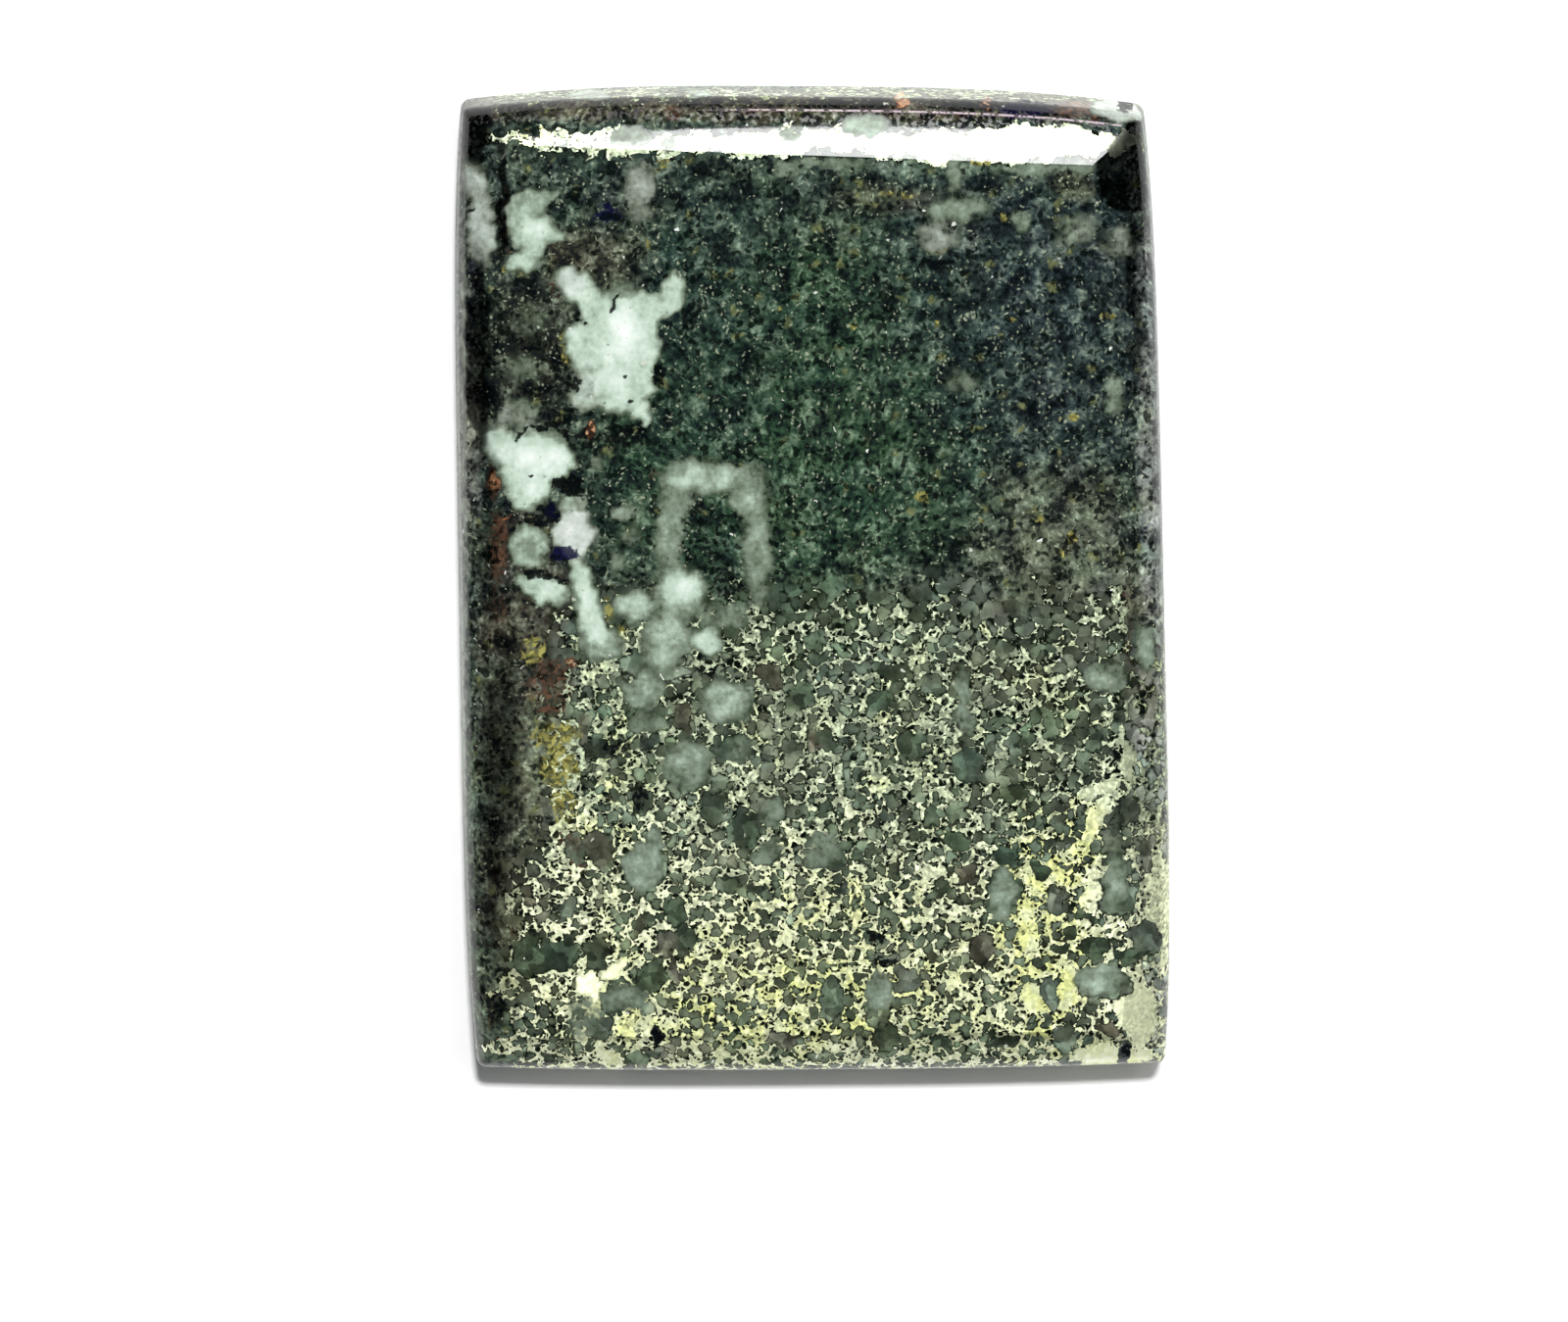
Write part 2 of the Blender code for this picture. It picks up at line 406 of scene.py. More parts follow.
BLACK_ROCK = {
    "below_lump": (578, 493, 14, 9, 0, 0.5, 1.0),
    "below_lump_right": (590, 503, 12, 6, -20, 0.5, 0.9),
    "lump_curve": (562, 524, 8, 13, 25, 0.6, 0.9),
    "lump_curve_foot": (546, 532, 13, 5, 0, 0.6, 0.8),
    "navy_blob": (574, 565, 12, 10, 0, 0.4, 1.0),
    "navy_tail": (551, 587, 21, 5, -12, 0.5, 0.9),
    "navy_foot": (572, 594, 9, 3, 0, 0.6, 0.7),
    "above_lump": (550, 437, 19, 3, 4, 0.6, 0.9),
    "above_lump_right": (573, 441, 12, 3, -40, 0.6, 0.8),
    "lump_crack": (529, 446, 9, 2.5, 50, 0.6, 0.9),
    "beside_lump_high": (570, 425, 18, 10, 0, 0.9, 0.7),
    "beside_tail": (637, 445, 27, 16, 0, 0.9, 0.7),
    "beside_lump": (597, 446, 12, 12, 0, 0.8, 0.75),
    "beside_heart": (672, 383, 8, 12, 0, 0.8, 0.8),
    "beside_arm": (704, 322, 9, 16, -20, 0.9, 0.7),
    "below_lobe": (583, 390, 12, 9, 20, 0.9, 0.75),
    "beside_lobe": (567, 370, 7, 14, 0, 0.9, 0.7),
    "left_mid_crack": (536, 352, 24, 5, -10, 0.9, 0.6),
    "left_mid_foot": (545, 398, 22, 7, 0, 0.9, 0.7),
    "left_of_cap": (503, 405, 10, 14, 0, 1.0, 0.8),
    "ring_core": (722, 552, 30, 38, 0, 0.6, 0.42),
    "ring_core_foot": (742, 598, 20, 16, 0, 0.7, 0.65),
    "cloud_navy": (619, 220, 15, 8, 0, 0.8, 0.8),
    "cloud_navy_left": (587, 199, 9, 8, 0, 0.9, 0.7),
    "haze_foot": (957, 268, 18, 7, 0, 0.8, 0.8),
    "speck_lump": (541, 486, 3, 2.5, 0, 0.6, 1.2),
    "speck_star_low": (645, 409, 4, 3, 20, 0.6, 1.0),
    "speck_star_middle": (634, 387, 3, 2.5, 0, 0.6, 0.9),
    "notch_star_left": (594, 329, 8, 1.6, -8, 0.6, 1.0),
    "notch_star_top": (628, 307, 2.0, 8, -30, 0.6, 1.0),
    "notch_star_foot": (623, 315, 3, 2.5, 0, 0.6, 1.0),
    "speck_wall_low": (479, 215, 4, 2.5, 0, 0.6, 1.2),
    "speck_corner": (1147, 107, 7, 6, 0, 0.3, 1.8),
    # Painted dark reflection: the black band along the top shoulder, partly dark rock
    "top_dark_left": (860, 107, 60, 7, 0, 0.8, 0.7),
    "top_dark_middle": (985, 107, 45, 7, 0, 0.8, 0.7),
    "top_dark_right": (1045, 112, 32, 9, 0, 0.8, 0.9),
    "top_dark_far_left": (740, 105, 60, 7, 0, 0.8, 0.5),
    "top_dark_corner": (540, 112, 42, 9, 0, 0.8, 0.5),
    "top_dark_lump": (640, 118, 22, 9, 0, 0.8, 0.5),
    "navy_right": (1097, 500, 15, 11, 0, 0.9, 0.8),
    "grain_below_ring": (722, 683, 12, 7, 0, 0.4, 1.0),
    "grain_left": (653, 814, 9, 14, -15, 0.4, 0.7),
    "grain_left_high": (630, 762, 13, 8, 0, 0.5, 0.7),
    "grain_right_high": (1141, 765, 8, 8, 0, 0.3, 0.8),
    "grain_right_low": (1134, 795, 8, 8, 0, 0.3, 1.0),
    "grain_low_teal": (895, 956, 11, 9, 0, 0.3, 0.8),
    "grain_low_teal_foot": (907, 982, 15, 6, 0, 0.4, 0.8),
    "grain_corner": (1162, 1050, 7, 6, 0, 0.3, 1.2),
    "grain_corner_low": (1152, 1073, 9, 6, 0, 0.4, 0.9),
    "grain_navy_low": (669, 1060, 10, 10, 0, 0.4, 0.9),
    "grain_left_corner": (507, 1026, 11, 18, 0, 0.4, 0.6),
}
RUST = {
    "left_band_high": (503, 492, 7, 18, 0, 0.8, 1.25),
    "left_band": (508, 558, 10, 42, 0, 0.9, 0.95),
    "left_band_low": (508, 625, 11, 40, 0, 1.0, 0.6),
    "left_band_spot": (520, 528, 4, 4, 0, 0.8, 1.5),
    "beside_cloud": (516, 222, 4, 50, 0, 0.8, 0.7),
    "cloud_foot": (524, 256, 11, 4, -15, 1.0, 0.6),
    "star_left_edge": (566, 296, 6, 14, 25, 1.0, 0.7),
    "orange_cluster": (602, 440, 6, 11, 0, 0.8, 1.6),
    "lumps_orange": (582, 677, 8, 6, 0, 0.8, 1.2),
    "lumps": (555, 640, 30, 26, 0, 1.0, 0.4),
    "red_patch": (562, 700, 27, 34, 0, 0.9, 0.72),
    "red_patch_core": (562, 724, 16, 7, 0, 0.9, 0.9),
    "below_mustard": (580, 858, 18, 22, 0, 1.0, 0.6),
    "pink_patch": (586, 886, 12, 14, 0, 1.0, 0.7),
    "tan_patch": (629, 822, 12, 16, 0, 1.0, 0.45),
    "ring_pink": (669, 485, 8, 9, 0, 1.0, 0.6),
    "top_dot": (920, 103, 8, 9, 0, 0.6, 1.7),
    "top_dot_right": (1008, 104, 8, 7, 0, 0.7, 1.3),
    "top_red": (1096, 110, 24, 9, 5, 0.7, 1.15),
    "top_red_low": (1116, 119, 6, 8, 0, 0.7, 1.15),
    "top_brown_left": (687, 115, 14, 9, 0, 0.8, 0.8),
    "top_brown_middle": (770, 113, 18, 8, 0, 0.8, 0.6),
    "top_strip": (960, 118, 90, 6, 0, 1.0, 0.5),
    "right_strip": (1151, 640, 8, 70, 0, 1.0, 0.5),
    "left_low": (512, 930, 22, 70, 0, 1.0, 0.42),
    "left_middle": (530, 760, 16, 90, 0, 1.0, 0.42),
    "left_foot": (500, 1040, 12, 40, 0, 1.0, 0.5),
}
OCHRE = {
    "mustard": (568, 751, 28, 16, 0, 0.9, 0.92),
    "mustard_middle": (571, 784, 22, 24, 0, 0.9, 0.85),
    "mustard_stem": (575, 822, 13, 22, 0, 0.9, 0.75),
    "olive_blob": (543, 664, 13, 17, 0, 1.0, 0.75),
    "stream_cream": (633, 650, 5, 11, -12, 0.8, 1.1),
    "stream_tan": (621, 622, 6, 14, 0, 0.9, 0.7),
    "star_yellow": (576, 355, 5, 20, 0, 0.9, 0.9),
    "star_yellow_foot": (585, 370, 8, 4, 20, 0.9, 0.8),
    "cloud_toe": (520, 273, 8, 7, 0, 0.9, 0.9),
    "gold_high": (676, 165, 8, 5, 0, 0.9, 0.7),
    "gold_top": (1001, 167, 12, 5, -10, 0.6, 1.0),
    "gold_top_left": (859, 166, 10, 5, 0, 0.8, 0.6),
    "gold_strip": (918, 199, 20, 5, 0, 1.0, 0.6),
    "gold_haze": (957, 254, 12, 8, 0, 1.0, 0.7),
    "gold_dot_a": (1024, 222, 5, 7, 0, 0.7, 1.0),
    "gold_dot_b": (1096, 424, 6, 5, 0, 0.7, 1.0),
    "gold_dot_c": (939, 507, 8, 6, 15, 0.7, 0.9),
    "gold_dot_d": (1061, 527, 5, 6, 0, 0.7, 1.0),
    "gold_dot_e": (998, 534, 5, 6, 0, 0.7, 0.7),
    "gold_dot_f": (1094, 548, 6, 8, 0, 0.7, 0.8),
    "gold_dot_g": (1085, 564, 6, 5, 0, 0.7, 0.8),
    "gold_dot_h": (661, 248, 6, 6, 0, 0.9, 0.6),
    "gold_dot_i": (796, 314, 5, 5, 0, 0.9, 0.6),
    "gold_dot_j": (871, 332, 5, 6, 0, 0.9, 0.7),
    "gold_dot_k": (957, 328, 4, 4, 0, 0.9, 0.7),
    "gold_dot_l": (1033, 324, 6, 4, 0, 0.9, 0.6),
    "gold_dot_m": (1130, 322, 9, 4, 0, 0.7, 0.8),
}
SILVER = {
    "solid_white": (600, 1004, 13, 11, 0, 0.4, 1.9),
    "solid_white_foot": (604, 1022, 8, 18, 0, 0.4, 1.9),
    "solid_white_arm": (626, 987, 13, 6, 30, 0.4, 1.75),
    "solid_white_bar": (568, 994, 20, 4, 0, 0.5, 1.6),
    "solid_cream": (655, 1045, 33, 11, 5, 0.5, 1.4),
    "solid_cream_foot": (620, 1078, 15, 8, 0, 0.5, 1.5),
    "left_corner": (513, 1008, 18, 14, 30, 0.6, 1.1),
    "left_corner_low": (510, 1068, 24, 8, 0, 0.6, 1.1),
    "left_corner_side": (527, 1035, 7, 36, 5, 0.6, 1.0),
    "column_high": (1063, 895, 24, 20, 0, 0.5, 1.4),
    "column": (1049, 950, 12, 38, 0, 0.5, 1.4),
    "column_foot": (1052, 1018, 11, 18, 10, 0.5, 1.55),
    "column_right": (1092, 1010, 10, 28, -8, 0.5, 1.5),
    "foot_right": (1075, 990, 34, 10, 0, 0.6, 1.3),
    "foot_cream": (790, 1050, 60, 8, 0, 0.8, 1.2),
    "right_patch": (1117, 910, 14, 33, -8, 0.6, 1.4),
    "right_patch_foot": (1104, 950, 26, 22, 0, 0.8, 1.2),
    "diagonal_high": (1148, 770, 9, 32, 12, 0.5, 1.5),
    "diagonal_middle": (1122, 806, 25, 10, 15, 0.5, 1.55),
    "diagonal_low": (1120, 836, 9, 24, -30, 0.6, 1.5),
    "diagonal_foot": (1098, 864, 8, 16, -25, 0.6, 1.4),
    "top_wall_cream": (528, 99, 28, 4, 0, 0.5, 1.1),
    "top_wall_cream_middle": (665, 95, 15, 4, 0, 0.5, 1.1),
    "top_wall_cream_right": (744, 94, 15, 4, 0, 0.5, 1.1),
    "right_cream": (1149, 727, 6, 12, 0, 0.6, 1.4),
    "right_high": (1143, 622, 8, 28, 0, 0.6, 1.2),
    "right_high_left": (1122, 624, 6, 10, 0, 0.6, 1.2),
    "bevel_right": (1184, 930, 13, 75, 0, 0.5, 1.4),
    "bevel_right_high": (1176, 840, 9, 40, 0, 0.7, 1.0),
    "corner_right": (1160, 1030, 22, 44, 12, 0.6, 1.55),
    "corner_low": (1135, 1078, 50, 9, 0, 0.6, 1.6),
    "spot_a": (940, 690, 9, 8, 0, 0.7, 1.2),
    "spot_b": (1040, 668, 10, 9, 0, 0.7, 1.2),
    "spot_c": (1022, 771, 10, 8, 0, 0.7, 1.2),
    "spot_d": (655, 660, 6, 22, 10, 0.7, 1.0),
    "pool_rim": (610, 682, 28, 7, 0, 0.6, 1.2),
    "rim_left": (598, 770, 7, 32, 0, 0.7, 1.1),
    # Partly real silver, partly painted reflection: the light band of the top bevel and the light top wall
    "top_bevel_left": (575, 140, 85, 8, 3, 0.4, 1.35),
    "top_bevel": (760, 146, 190, 13, 2, 0.4, 1.45),
    "top_bevel_right": (1020, 148, 150, 18, 1, 0.35, 1.7),
    "top_bevel_corner": (1090, 142, 34, 17, 0, 0.4, 2.0),
    "top_wall": (800, 95, 380, 6, 0, 0.5, 0.95),
}
LACE_TOP = 622
LACE_TOP_SOFTNESS = 100
LACE_LEFT = 568
LACE_LEFT_LOW = 526
LACE_RICHNESS = 0.92
LACE_RICHNESS_LOW = 1.0
LACE_THIN = {
    "right_middle": (1070, 730, 85, 130, 0, 1.0, 0.22),
    "right_strip": (1160, 680, 22, 110, 0, 1.0, 0.5),
    "middle_gap": (930, 840, 60, 40, 0, 1.0, 0.2),
    "left_foot_gap": (560, 1045, 40, 30, 0, 1.0, 0.25),
    "below_ring": (700, 690, 60, 40, 0, 1.0, 0.25),
}
YELLOW_SILVER = {
    "bottom": (790, 1020, 190, 60, 0, 1.0, 0.82),
    "bottom_gold": (875, 1045, 30, 14, 0, 0.8, 1.0),
    "bottom_left": (660, 1045, 36, 18, 0, 0.8, 0.8),
    "column": (1065, 955, 50, 110, 0, 0.8, 1.0),
    "diagonal": (1105, 850, 26, 40, 0, 0.8, 0.8),
    "middle": (880, 960, 120, 60, 0, 1.0, 0.4),
    "corner": (1140, 1078, 60, 12, 0, 1.0, 0.3),
    "left_middle": (620, 830, 40, 40, 0, 1.0, 0.3),
}
# Painted shade and dark reflection along the two long bevels, partly dark rock
DEEP_SHADE = {
    "left_corner": (482, 133, 16, 36, 0, 0.6, 0.95),
    "left_edge_high": (511, 205, 5, 75, 0, 0.8, 0.9),
    "left_edge": (487, 375, 13, 115, 0, 0.8, 0.95),
    "left_edge_middle": (500, 560, 8, 120, 0, 0.9, 0.6),
    "left_edge_low": (508, 790, 20, 150, -3, 0.9, 0.75),
    "left_edge_foot": (500, 930, 12, 60, 0, 0.9, 0.6),
    "right_edge": (1157, 300, 7, 110, 0, 0.8, 0.8),
    "right_rim": (1165, 300, 2, 160, 0, 0.8, 0.5),
}
# The blackest part of the right bevel, painted shade and dark reflection, which ends at the mitre
SHADED_BEVEL = (
    (1152, 123), (1164, 127), (1168, 216), (1152, 218), (1130, 212), (1121, 192), (1116, 167))
# Duller patches in the polish of the top bevel
DULL_PATCHES = {
    "mint": (882, 128, 24, 13, 0, 0.5, 1.0),
    "left_cloud": (643, 138, 22, 9, 0, 0.6, 0.9),
    "middle_cloud": (806, 136, 11, 8, 0, 0.6, 0.9),
    "left_end": (560, 140, 40, 5, 0, 0.8, 0.6),
}
# Painted light: brighter stretches of the bevels and the foot wall
PAINTED_LIGHT_EDGES = {
    "foot_bevel": (830, 1074, 400, 14, 0, 0.5, 1.0),
    "foot_wall": (830, 1092, 400, 7, 0, 0.5, 0.6),
    "right_bevel_low": (1180, 930, 18, 140, 0, 0.6, 0.2),
}
# Smooth grains that the silver runs round, by the colour of each, as x, y, half width,
# half height and turn in degrees
GRAIN_COLOURS = {
    "green": (66, 80, 60),
    "teal": (68, 84, 68),
    "grey": (98, 110, 94),
    "brown": (92, 90, 76),
    "dark": (46, 54, 44),
    "navy": (36, 42, 46),
    "mint": (124, 140, 118),
}
GRAINS = {
    "green": (
        (690, 929, 13, 15, 0), (665, 996, 10, 16, -20), (758, 951, 8, 8, 0), (728, 825, 12, 16, 0),
        (816, 712, 13, 16, 0), (908, 683, 20, 8, 0), (1063, 890, 9, 11, 0), (1110, 936, 11, 7, 0),
        (1091, 950, 8, 7, 0), (1116, 965, 15, 10, -15), (1084, 966, 7, 9, 0), (1154, 977, 14, 11, 0),
        (541, 975, 17, 24, 0), (782, 869, 16, 9, 0), (1034, 812, 14, 12, 0), (977, 856, 14, 10, 0),
        (843, 757, 10, 12, 0), (960, 905, 11, 9, 0), (745, 900, 10, 8, 0), (905, 1058, 15, 17, 0),
    ),
    "teal": (
        (696, 959, 10, 11, 0), (636, 1018, 25, 14, 0), (748, 766, 19, 15, 0), (758, 845, 17, 14, 0),
        (900, 715, 17, 11, 0), (894, 956, 12, 8, 0), (1026, 875, 17, 10, 0), (1025, 906, 18, 17, 0),
        (650, 1080, 17, 7, 0), (990, 780, 13, 16, 0), (930, 760, 12, 14, 0), (568, 975, 28, 19, 0),
    ),
    "grey": (
        (849, 1020, 12, 20, 0), (838, 879, 26, 14, 0), (788, 830, 17, 19, 0), (903, 981, 17, 7, 0),
        (612, 1048, 14, 15, 0), (1085, 1061, 12, 13, 0), (1076, 922, 13, 15, 0), (703, 780, 25, 28, 0),
        (1136, 858, 10, 22, 0), (660, 735, 23, 10, -8), (808, 768, 11, 10, 0), (950, 700, 12, 12, 0),
        (1073, 1016, 10, 18, 0), (586, 866, 12, 16, 0), (925, 1000, 13, 12, 0), (581, 928, 10, 12, 0),
    ),
    "brown": (
        (680, 963, 10, 15, 0), (688, 989, 6, 14, 0), (784, 691, 14, 12, 0), (653, 945, 8, 10, 0),
        (1002, 967, 12, 13, 0), (829, 760, 8, 9, 0), (1129, 1052, 12, 8, 0), (610, 868, 12, 15, 0),
        (985, 890, 12, 9, 0), (700, 730, 14, 14, 0), (800, 1062, 12, 8, 0), (600, 745, 8, 16, 0),
    ),
    "dark": (
        (653, 815, 12, 16, 0), (609, 975, 9, 19, 0), (1170, 876, 10, 15, 0), (1170, 956, 14, 17, 0),
        (1150, 826, 14, 14, 0), (1190, 1032, 6, 8, 0), (1058, 984, 7, 8, 0), (614, 768, 14, 11, 0),
        (960, 1060, 14, 7, 0), (1020, 1062, 15, 8, 0), (770, 905, 13, 5, 0), (507, 1026, 10, 18, 0),
    ),
    "navy": (
        (669, 1057, 9, 13, 0), (664, 756, 10, 9, 0), (1150, 1075, 10, 9, 0), (858, 908, 9, 5, 0),
    ),
    "mint": (
        (657, 884, 22, 26, 0), (742, 717, 27, 23, 0), (1024, 915, 14, 20, 0), (1140, 908, 18, 28, 0),
        (1126, 1005, 28, 20, 0), (899, 1027, 17, 16, 0), (668, 680, 33, 16, -10), (702, 775, 16, 20, 0),
    ),
}
# Tints of the dark rock: x, y, half width, half height, then its colour as seen
ROCK_TINTS = {
    "green_centre": (810, 420, 170, 200, (52, 80, 56)),
    "blue_right": (1050, 300, 130, 150, (48, 60, 64)),
    "teal_left": (720, 330, 70, 120, (44, 62, 60)),
    "brown_high": (610, 265, 50, 30, (78, 74, 58)),
    "grey_high": (830, 200, 200, 45, (60, 74, 66)),
    "brown_right": (1075, 620, 80, 120, (106, 112, 93)),
    "lace_grains": (830, 800, 300, 170, (123, 137, 113)),
    "lace_grains_low": (800, 980, 280, 90, (120, 131, 104)),
    "left_margin": (535, 640, 40, 110, (68, 60, 50)),
    "left_low": (535, 900, 40, 110, (74, 70, 56)),
    "left_dark": (560, 380, 60, 50, (28, 34, 28)),
    "left_brown": (545, 350, 40, 60, (52, 48, 38)),
    "right_low": (1120, 850, 60, 120, (80, 90, 78)),
    "top_strip": (800, 108, 400, 14, (86, 78, 60)),
    "below_band_mint": (960, 171, 150, 7, (124, 142, 120)),
    "below_band_brown": (905, 203, 48, 16, (96, 88, 68)),
    "below_band_olive": (1095, 188, 20, 14, (108, 104, 78)),
    "left_wall_high": (476, 300, 10, 60, (66, 70, 82)),
    "left_wall": (478, 470, 11, 90, (154, 158, 142)),
    "right_wall_low": (1180, 860, 24, 220, (184, 192, 176)),
    "right_wall_high": (1172, 420, 9, 220, (150, 158, 150)),
    "bottom_bevel": (830, 1076, 360, 14, (98, 108, 90)),
}
ROCK_COLOUR = (57, 72, 64)
HUE_SWING = (0.20, 0.08, 0.20)
SHINE_TOP = 700
SHINE_FOOT = 1020
LIGHT_LEVEL = 1.45


def smooth_step(value):
    value = np.clip(value, 0, 1)
    return value * value * (3 - 2 * value)


def mark_strength(across, down, mark):
    """0 to 1 inside one turned ellipse, fading over its soft rim, times its strength."""
    x, y, half_width, half_height, turn, softness, strength = mark
    angle = math.radians(turn)
    dx = across - x
    dy = down - y
    along = dx * math.cos(angle) - dy * math.sin(angle)
    aside = dx * math.sin(angle) + dy * math.cos(angle)
    reach = np.hypot(along / half_width, aside / half_height)
    return strength * smooth_step((1 - reach) / softness + 0.5)


def strongest(across, down, marks):
    total = np.zeros(len(across))
    for mark in marks.values():
        total = np.maximum(total, mark_strength(across, down, mark))
    return total


def depth_inside(across, down, corners):
    """How far each place lies inside a closed outline, in pixels, and below zero outside it."""
    nearest = np.full(len(across), np.inf)
    inside = np.zeros(len(across), bool)
    for (x, y), (next_x, next_y) in zip(corners, corners[1:] + corners[:1]):
        run = next_x - x
        fall = next_y - y
        share = np.clip(((across - x) * run + (down - y) * fall) / (run * run + fall * fall), 0, 1)
        nearest = np.minimum(nearest, np.hypot(across - x - share * run, down - y - share * fall))
        if fall:
            level = (y > down) != (next_y > down)
            inside ^= level & (across < x + (down - y) * run / fall)
    return np.where(inside, nearest, -nearest)


def piled(across, down, marks, outlines):
    """Marks and outlines melted together: where soft rims overlap they add up."""
    total = np.zeros(len(across))
    for mark in marks.values():
        total += mark_strength(across, down, mark) ** 3
    for strength, softness, corners in outlines.values():
        depth = depth_inside(across, down, corners)
        total += (strength * smooth_step(depth / softness + 0.5)) ** 3
    return total ** (1 / 3)


def linear_colour(seen):
    """Base colour that comes out as the seen screen colour in this scene's light."""
    share = np.array(seen) / 255
    linear = np.where(share <= 0.04045, share / 12.92, ((share + 0.055) / 1.055) ** 2.4)
    return linear / LIGHT_LEVEL


def drift(points, bump, seed, octaves=1):
    """Three smooth random fields over the points, with bumps of the given size in millimetres."""
    total = np.zeros((len(points), 3))
    for octave in range(octaves):
        shift = Vector((17.3, 5.1, 9.7)) * (seed + octave)
        scale = 2 ** octave / bump
        total += 0.65 ** octave * np.array([noise.noise_vector(Vector(point) * scale + shift)
                                            for point in points])
    return total


def rock_tint(across, down):
    weight = np.full(len(across), 0.35)
    total = weight[:, None] * linear_colour(ROCK_COLOUR)
    for x, y, half_width, half_height, seen in ROCK_TINTS.values():
        mark = (x, y, half_width, half_height, 0, 1.0, 1.0)
        share = mark_strength(across, down, mark)
        weight = weight + share
        total = total + share[:, None] * linear_colour(seen)
    for colour_name, placed in GRAINS.items():
        for x, y, half_width, half_height, turn in placed:
            share = 6 * mark_strength(across, down, (x, y, half_width, half_height, turn, 0.4, 1.0))
            weight = weight + share
            total = total + share[:, None] * linear_colour(GRAIN_COLOURS[colour_name])
    return total / weight[:, None]


def smooth_grains(across, down):
    total = np.zeros(len(across))
    for placed in GRAINS.values():
        for grain in placed:
            total = np.maximum(total, mark_strength(across, down, (*grain, 1.0, 1.0)))
    return total


def lace_richness(across, down):
    """How much silver lies between the grains: none above a ragged line, more lower down."""
    high = smooth_step((down - LACE_TOP) / LACE_TOP_SOFTNESS + 0.5)
    low = smooth_step((down - 860) / 60 + 0.5)
    left_line = LACE_LEFT + (LACE_LEFT_LOW - LACE_LEFT) * low
    left = smooth_step((across - left_line) / 40 + 0.5)
    richness = high * left * (LACE_RICHNESS + (LACE_RICHNESS_LOW - LACE_RICHNESS) * low)
    for mark in LACE_THIN.values():
        richness -= mark_strength(across, down, mark)
    return np.clip(richness, 0, None)


def paint_stone(mesh):
    """Stores the soft fields of the pattern on the mesh, for the material to read."""
    count = len(mesh.vertices)
    points = read_vectors(mesh.vertices, "co", count)
    across, down = photo_place(points)
    millimetres = points / MM
    rough = 6 * drift(millimetres, 0.35, 2)
    wide = 8 * drift(millimetres, 0.9, 1) + rough
    rough_across = across + rough[:, 0]
    rough_down = down + rough[:, 1]
    bent_across = across + wide[:, 0]
    bent_down = down + wide[:, 1]
    slow = drift(millimetres, 1.6, 5, 2)
    patches = drift(millimetres, 0.9, 11, 2)
    hues = drift(millimetres, 1.5, 17, 2)

    fields = {
        "white_quartz": piled(rough_across, rough_down, WHITE_QUARTZ, QUARTZ_OUTLINES),
        "pink_quartz": strongest(bent_across, bent_down, PINK_QUARTZ),
        "black_rock": strongest(rough_across, rough_down, BLACK_ROCK),
        "navy_rock": strongest(rough_across, rough_down, NAVY_ROCK),
        "rust": strongest(rough_across, rough_down, RUST),
        "ochre": strongest(across + wide[:, 0] / 2, down + wide[:, 1] / 2, OCHRE),
        "yellow_silver": strongest(bent_across, bent_down, YELLOW_SILVER) + 0.5 * slow[:, 2],
        "deep_shade": np.maximum(strongest(bent_across, bent_down, DEEP_SHADE),
                                 smooth_step(depth_inside(across, down, SHADED_BEVEL) / 5 + 0.5)),
        "painted_light_edge": strongest(across, down, PAINTED_LIGHT_EDGES),
        "dull_patch": strongest(rough_across, rough_down, DULL_PATCHES),
        "smooth_grain": smooth_grains(bent_across, bent_down),
        "soft_tone": patches[:, 0],
    }
    richness = lace_richness(across + wide[:, 0] * 2, down + 30 * slow[:, 0])
    fields["silver"] = np.maximum(richness, strongest(bent_across, bent_down, SILVER))
    fields["silver_shine"] = smooth_step((down - SHINE_TOP) / (SHINE_FOOT - SHINE_TOP)) + 0.35 * slow[:, 1]
    for name, values in fields.items():
        layer = mesh.attributes.new(name, "FLOAT", "POINT")
        layer.data.foreach_set("value", values.astype(np.float32))

    tint = np.ones((count, 4), np.float32)
    tint[:, :3] = rock_tint(bent_across, bent_down) * 2 ** (hues * HUE_SWING)
    layer = mesh.attributes.new("rock_tint", "FLOAT_COLOR", "POINT")
    layer.data.foreach_set("color", tint.ravel())


paint_stone(stone_mesh)

# The polished finish
# Quartz and dark rock take a glassy polish. The silver between the grains is softer and
# stays satin, a hair below the quartz. The walls are only ground, and look frosted.
stone_finish = bpy.data.materials.new("silver_quartz")
stone_finish.use_nodes = True
stone_tree = stone_finish.node_tree


def add_node(kind, sockets, **settings):
    """One shader node; each socket takes a value or another node's output."""
    node = stone_tree.nodes.new("ShaderNode" + kind)
    for name, value in settings.items():
        setattr(node, name, value)
    for name, value in sockets.items():
        if isinstance(value, bpy.types.NodeSocket):
            stone_tree.links.new(value, node.inputs[name])
        else:
            node.inputs[name].default_value = value
    return node


def calc(operation, *values):
    return add_node("Math", dict(enumerate(values)), operation=operation).outputs[0]


def plus(first, second):
    return calc("ADD", first, second)


def times(first, second):
    return calc("MULTIPLY", first, second)


def fade(value, low, high, low_result=0.0, high_result=1.0):
    """Smooth step of a value, from one result at low to the other at high."""
    sockets = {
        "Value": value, "From Min": low, "From Max": high,
        "To Min": low_result, "To Max": high_result,
    }
    return add_node("MapRange", sockets, interpolation_type="SMOOTHSTEP").outputs["Result"]


def laid_over(share, below, above):
    return add_node("Mix", {0: share, 6: below, 7: above}, data_type="RGBA").outputs[2]


def shaded(colour, factor):
    return add_node("VectorMath", {0: colour, "Scale": factor}, operation="SCALE").outputs[0]


def painted(name):
    return add_node("Attribute", {}, attribute_name=name).outputs["Fac"]


